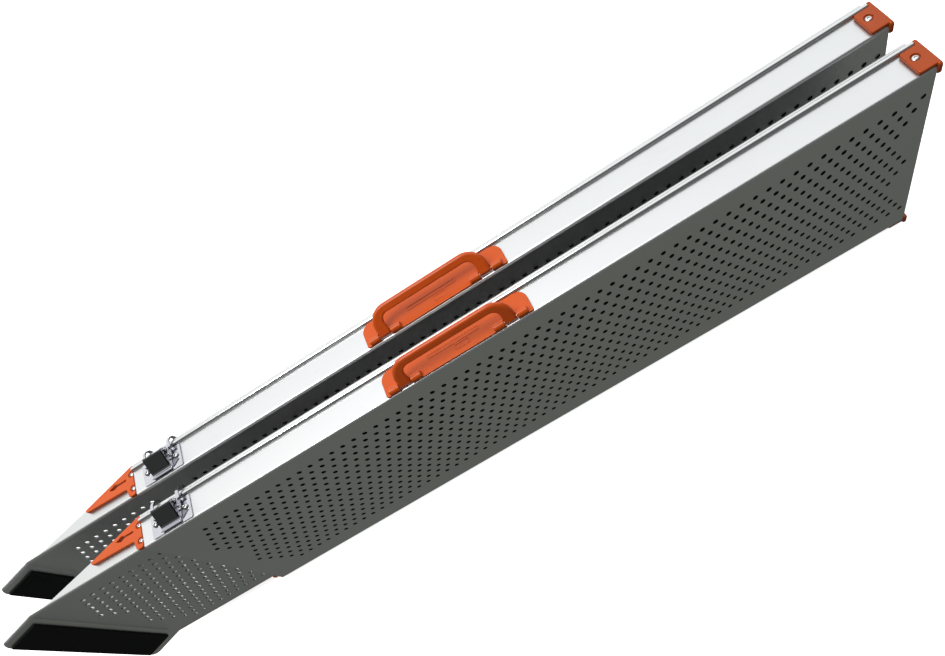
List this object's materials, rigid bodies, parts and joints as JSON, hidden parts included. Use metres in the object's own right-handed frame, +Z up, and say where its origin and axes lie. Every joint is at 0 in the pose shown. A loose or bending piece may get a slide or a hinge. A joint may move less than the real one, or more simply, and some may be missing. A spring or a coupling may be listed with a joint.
{
  "type": "telescopic wheelchair ramp pair",
  "caption": "Pair of telescopic channel ramps, collapsed and standing on edge, with folding carry handles, toggle latches, end caps and rubber-padded noses.",
  "frame": {"origin": "middle of the underside of the pair's bounding box, as stored: collapsed and standing on the long edge", "axes": "+X along the length from the nose to the rear end, +Y from the front track to the back one (the open side of the troughs), +Z up across the width of the tracks"},
  "size_m": [1.2624, 0.1436, 0.3046],
  "materials": {
    "aluminium": "satin, lightly brushed",
    "aluminium_inner": "satin, lightly brushed",
    "orange_plastic": "moulded, semi-gloss",
    "orange_grip": "moulded, semi-gloss",
    "black_rubber": "matt, slightly rough",
    "black_cover": "fine grain",
    "chrome": "polished",
    "chrome_lever": "polished",
    "zinc_steel": "bright zinc",
    "glide_polymer": "natural"
  },
  "bodies": {
    "front_track": {"front_outer_channel": "aluminium", "front_end_cap_top": "orange_plastic", "front_end_cap_bottom": "orange_plastic", "front_cap_screw_top": "zinc_steel", "front_cap_screw_bottom": "zinc_steel", "front_handle_base": "orange_plastic", "front_handle_pin_1": "zinc_steel", "front_handle_screw_1": "zinc_steel", "front_handle_pin_2": "zinc_steel", "front_handle_screw_2": "zinc_steel", "front_latch_plate": "chrome", "front_latch_screw_1": "zinc_steel", "front_latch_screw_2": "zinc_steel", "front_latch_lever_pin": "zinc_steel", "front_glide_strip_top": "glide_polymer", "front_glide_strip_bottom": "glide_polymer"},
    "front_inner": {"front_inner_channel": "aluminium_inner", "front_nose_pad": "black_rubber", "front_wedge_top": "orange_plastic", "front_wedge_bottom": "orange_plastic", "front_wedge_screw_top_1": "zinc_steel", "front_wedge_screw_bottom_1": "zinc_steel", "front_wedge_screw_top_2": "zinc_steel", "front_wedge_screw_bottom_2": "zinc_steel", "front_stop_strip": "glide_polymer"},
    "front_bail": {"front_handle_bail": "orange_grip"},
    "front_lever": {"front_latch_lever": "chrome_lever", "front_latch_cover": "black_cover", "front_latch_hook_pin": "zinc_steel"},
    "front_hook": {"front_latch_hook": "chrome"},
    "back_track": {"back_outer_channel": "aluminium", "back_end_cap_top": "orange_plastic", "back_end_cap_bottom": "orange_plastic", "back_cap_screw_top": "zinc_steel", "back_cap_screw_bottom": "zinc_steel", "back_handle_base": "orange_plastic", "back_handle_pin_1": "zinc_steel", "back_handle_screw_1": "zinc_steel", "back_handle_pin_2": "zinc_steel", "back_handle_screw_2": "zinc_steel", "back_latch_plate": "chrome", "back_latch_screw_1": "zinc_steel", "back_latch_screw_2": "zinc_steel", "back_latch_lever_pin": "zinc_steel", "back_glide_strip_top": "glide_polymer", "back_glide_strip_bottom": "glide_polymer"},
    "back_inner": {"back_inner_channel": "aluminium_inner", "back_nose_pad": "black_rubber", "back_wedge_top": "orange_plastic", "back_wedge_bottom": "orange_plastic", "back_wedge_screw_top_1": "zinc_steel", "back_wedge_screw_bottom_1": "zinc_steel", "back_wedge_screw_top_2": "zinc_steel", "back_wedge_screw_bottom_2": "zinc_steel", "back_stop_strip": "glide_polymer"},
    "back_bail": {"back_handle_bail": "orange_grip"},
    "back_lever": {"back_latch_lever": "chrome_lever", "back_latch_cover": "black_cover", "back_latch_hook_pin": "zinc_steel"},
    "back_hook": {"back_latch_hook": "chrome"}
  },
  "joints": [
    {"name": "pair_spacing", "type": "slide", "parent": "front_track", "child": "back_track", "axis": [0, 1, 0], "range_m": [0, 0.5]},
    {"name": "front_telescope", "type": "slide", "parent": "front_track", "child": "front_inner", "axis": [-1, 0, 0], "range_m": [0, 0.8]},
    {"name": "front_handle", "type": "hinge", "parent": "front_track", "child": "front_bail", "pos_m": [0.06372, -0.05167, 0.2738], "axis": [1, 0, 0], "range_deg": [-64, 27]},
    {"name": "front_lever", "type": "hinge", "parent": "front_track", "child": "front_lever", "pos_m": [-0.34418, -0.02567, 0.279], "axis": [-1, 0, 0], "range_deg": [0, 120]},
    {"name": "front_hook", "type": "hinge", "parent": "front_lever", "child": "front_hook", "pos_m": [-0.34418, -0.03317, 0.276], "axis": [1, 0, 0], "range_deg": [0, 150]},
    {"name": "back_telescope", "type": "slide", "parent": "back_track", "child": "back_inner", "axis": [-1, 0, 0], "range_m": [0, 0.8]},
    {"name": "back_handle", "type": "hinge", "parent": "back_track", "child": "back_bail", "pos_m": [0.06372, 0.02313, 0.2738], "axis": [1, 0, 0], "range_deg": [-46, 45]},
    {"name": "back_lever", "type": "hinge", "parent": "back_track", "child": "back_lever", "pos_m": [-0.34418, 0.04913, 0.279], "axis": [-1, 0, 0], "range_deg": [0, 120]},
    {"name": "back_hook", "type": "hinge", "parent": "back_lever", "child": "back_hook", "pos_m": [-0.34418, 0.04163, 0.276], "axis": [1, 0, 0], "range_deg": [0, 150]}
  ],
  "couplings": [
    {"joint": "front_hook", "follows": "front_lever", "ratio": 1.25},
    {"joint": "back_hook", "follows": "back_lever", "ratio": 1.25}
  ]
}
